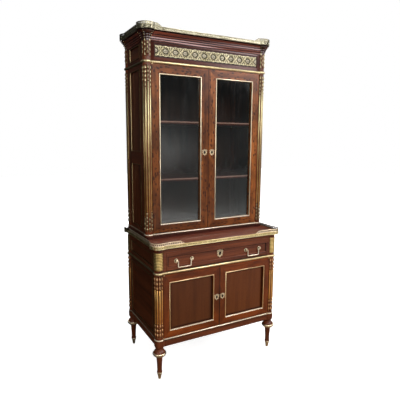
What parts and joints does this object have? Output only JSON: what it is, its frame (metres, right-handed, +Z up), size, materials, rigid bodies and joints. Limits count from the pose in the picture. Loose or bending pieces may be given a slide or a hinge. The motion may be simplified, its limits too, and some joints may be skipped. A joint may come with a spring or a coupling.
{
  "type": "secretaire bookcase",
  "caption": "Step-back mahogany secretaire bookcase with brass mounts: glazed doors above a pull-out writing drawer with a fall front and a cupboard, on turned feet.",
  "frame": {"origin": "middle of the bounding box, on the floor", "axes": "+Z up; the front with the doors faces -Y; +X is to the right for someone facing the front"},
  "size_m": [0.968, 0.5969, 2.2],
  "materials": {
    "mahogany": "polished, reddish brown with straight grain",
    "figured_mahogany": "polished, warm brown with dark mottled figure",
    "inner_wood": "plain satin, dark brown",
    "brass": "polished, softly worn",
    "glass": "clear",
    "leather": "smooth, dark red-brown",
    "steel": "plain worked steel"
  },
  "bodies": {
    "case": {"base_posts": "mahogany", "bookcase_posts": "mahogany", "flute_rods": "brass", "column_husks": "brass", "corner_plates": "brass", "shelf_pins": "brass", "turned_feet": "mahogany", "foot_mounts": "brass", "side_frames": "mahogany", "side_panels": "mahogany", "side_beads": "brass", "case_boards": "inner_wood", "backboards": "inner_wood", "drawer_rails": "mahogany", "shelves": "inner_wood", "base_top": "mahogany", "brass_mouldings": "brass", "pierced_galleries": "brass", "plinth_rails": "mahogany", "frieze_board": "mahogany", "frieze_ornament": "brass", "cornice": "mahogany", "top_rims": "brass", "fixed_pivots": "brass"},
    "bookcase_left_door": {"bookcase_left_door_frame": "figured_mahogany", "bookcase_left_door_pane": "glass", "bookcase_left_door_bead": "brass", "bookcase_left_escutcheon": "brass", "bookcase_left_door_pivots": "brass"},
    "bookcase_right_door": {"bookcase_right_door_frame": "figured_mahogany", "bookcase_right_door_pane": "glass", "bookcase_right_door_bead": "brass", "bookcase_right_escutcheon": "brass", "bookcase_right_door_pivots": "brass", "bookcase_door_lock": "steel"},
    "bookcase_bolt": {"bookcase_lock_bolt": "steel"},
    "cupboard_left_door": {"cupboard_left_door_frame": "figured_mahogany", "cupboard_left_door_panel": "figured_mahogany", "cupboard_left_door_bead": "brass", "cupboard_left_escutcheon": "brass", "cupboard_left_door_pivots": "brass"},
    "cupboard_right_door": {"cupboard_right_door_frame": "figured_mahogany", "cupboard_right_door_panel": "figured_mahogany", "cupboard_right_door_bead": "brass", "cupboard_right_escutcheon": "brass", "cupboard_right_door_pivots": "brass", "cupboard_door_lock": "steel"},
    "cupboard_bolt": {"cupboard_lock_bolt": "steel"},
    "writing_drawer": {"drawer_box": "inner_wood", "drawer_leather": "leather"},
    "fall": {"fall_front": "mahogany", "fall_leather": "leather", "fall_lock": "steel", "quadrant_stays": "brass", "fall_mounts": "brass"},
    "fall_bolt": {"fall_lock_bolt": "steel"},
    "bail_left_handle": {"bail_left": "brass"},
    "bail_right_handle": {"bail_right": "brass"},
    "small_drawer_l": {"small_drawer_left": "inner_wood"},
    "small_drawer_r": {"small_drawer_right": "inner_wood"}
  },
  "joints": [
    {"name": "bookcase_left_door_hinge", "type": "hinge", "parent": "case", "child": "bookcase_left_door", "pos_m": [-0.3975, -0.0945, 0.916], "axis": [0, 0, -1], "range_deg": [0, 110]},
    {"name": "bookcase_right_door_hinge", "type": "hinge", "parent": "case", "child": "bookcase_right_door", "pos_m": [0.3975, -0.0945, 0.916], "axis": [0, 0, 1], "range_deg": [0, 110]},
    {"name": "cupboard_left_door_hinge", "type": "hinge", "parent": "case", "child": "cupboard_left_door", "pos_m": [-0.4045, -0.2675, 0.276], "axis": [0, 0, -1], "range_deg": [0, 110]},
    {"name": "cupboard_right_door_hinge", "type": "hinge", "parent": "case", "child": "cupboard_right_door", "pos_m": [0.4045, -0.2675, 0.276], "axis": [0, 0, 1], "range_deg": [0, 110]},
    {"name": "bookcase_bolt_throw", "type": "slide", "parent": "bookcase_right_door", "child": "bookcase_bolt", "axis": [-1, 0, 0], "range_m": [0, 0.008]},
    {"name": "cupboard_bolt_throw", "type": "slide", "parent": "cupboard_right_door", "child": "cupboard_bolt", "axis": [-1, 0, 0], "range_m": [0, 0.008]},
    {"name": "writing_drawer_slide", "type": "slide", "parent": "case", "child": "writing_drawer", "axis": [0, -1, 0], "range_m": [0, 0.3]},
    {"name": "fall_hinge", "type": "hinge", "parent": "writing_drawer", "child": "fall", "pos_m": [0, -0.2515, 0.735], "axis": [1, 0, 0], "range_deg": [0, 90]},
    {"name": "fall_bolt_throw", "type": "slide", "parent": "fall", "child": "fall_bolt", "axis": [0, 0, 1], "range_m": [0, 0.009]},
    {"name": "bail_left_swing", "type": "hinge", "parent": "fall", "child": "bail_left_handle", "pos_m": [-0.263, -0.2705, 0.771], "axis": [-1, 0, 0], "range_deg": [0, 95]},
    {"name": "bail_right_swing", "type": "hinge", "parent": "fall", "child": "bail_right_handle", "pos_m": [0.263, -0.2705, 0.771], "axis": [-1, 0, 0], "range_deg": [0, 95]},
    {"name": "small_drawer_left_slide", "type": "slide", "parent": "writing_drawer", "child": "small_drawer_l", "axis": [0, -1, 0], "range_m": [0, 0.11]},
    {"name": "small_drawer_right_slide", "type": "slide", "parent": "writing_drawer", "child": "small_drawer_r", "axis": [0, -1, 0], "range_m": [0, 0.11]}
  ]
}
